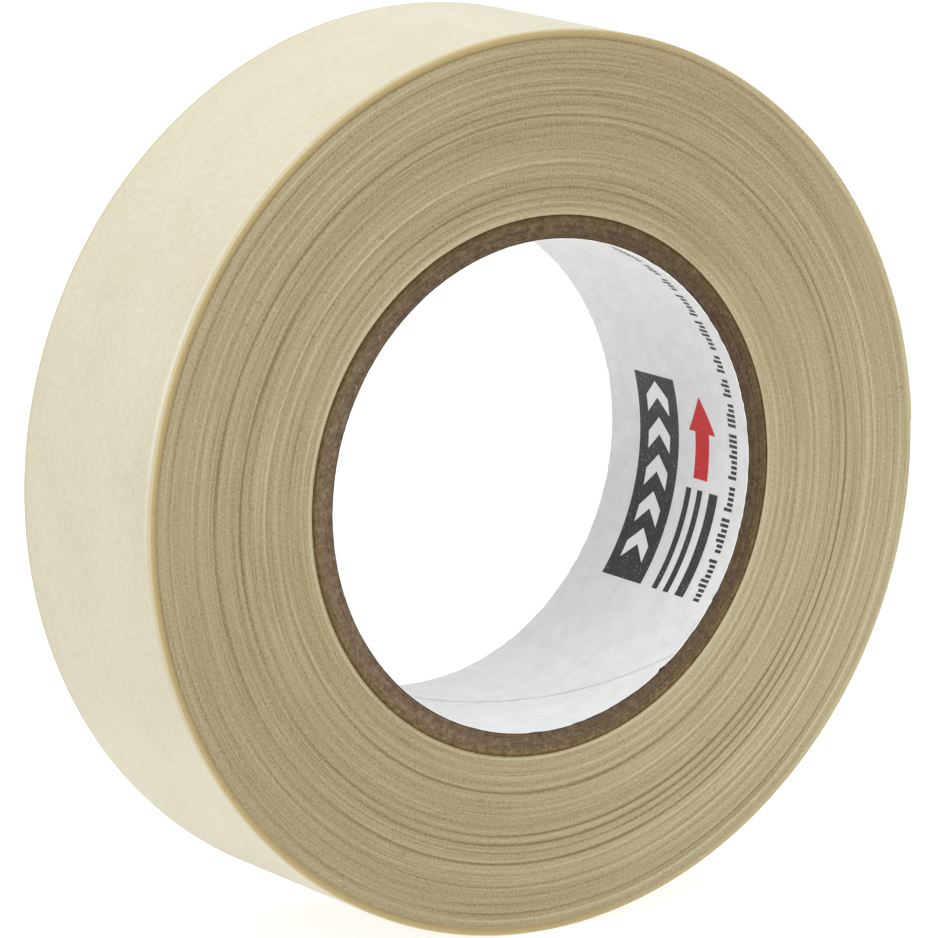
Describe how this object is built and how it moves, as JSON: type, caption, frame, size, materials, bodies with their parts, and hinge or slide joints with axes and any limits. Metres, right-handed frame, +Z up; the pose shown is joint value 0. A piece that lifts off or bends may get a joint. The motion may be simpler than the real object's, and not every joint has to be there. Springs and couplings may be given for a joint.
{
  "type": "masking tape roll",
  "caption": "Roll of cream crepe masking tape on a brown board core with a white paper liner, with a free tape end that peels off the tread.",
  "frame": {"origin": "centre of the core's bore, halfway across the tape's width", "axes": "+Y along the roll's axis, towards the rear side face; +Z up with the roll standing on its tread; +X towards the free tape end"},
  "size_m": [0.14, 0.0372, 0.14],
  "materials": {
    "liner_paper": "smooth white paper, slight sheen",
    "core_board": "rough brown fibre board",
    "tape_edge": "wound tape edges, tan, matte",
    "crepe_tape": "cream crepe paper with a faint release coat"
  },
  "bodies": {
    "roll": {"core_liner": "liner_paper", "core_ply_1": "core_board", "core_ply_2": "core_board", "core_ply_3": "core_board", "core_ply_4": "core_board", "core_ply_5": "core_board", "core_ply_6": "core_board", "core_ply_7": "core_board", "wound_pack": "tape_edge", "outer_turn": "crepe_tape"},
    "tape_end": {"tape_end": "crepe_tape"}
  },
  "joints": [
    {"name": "tape_end_peel", "type": "hinge", "parent": "roll", "child": "tape_end", "pos_m": [0.06499, 0, 0.02624], "axis": [0, -1, 0], "range_deg": [0, 120]}
  ]
}
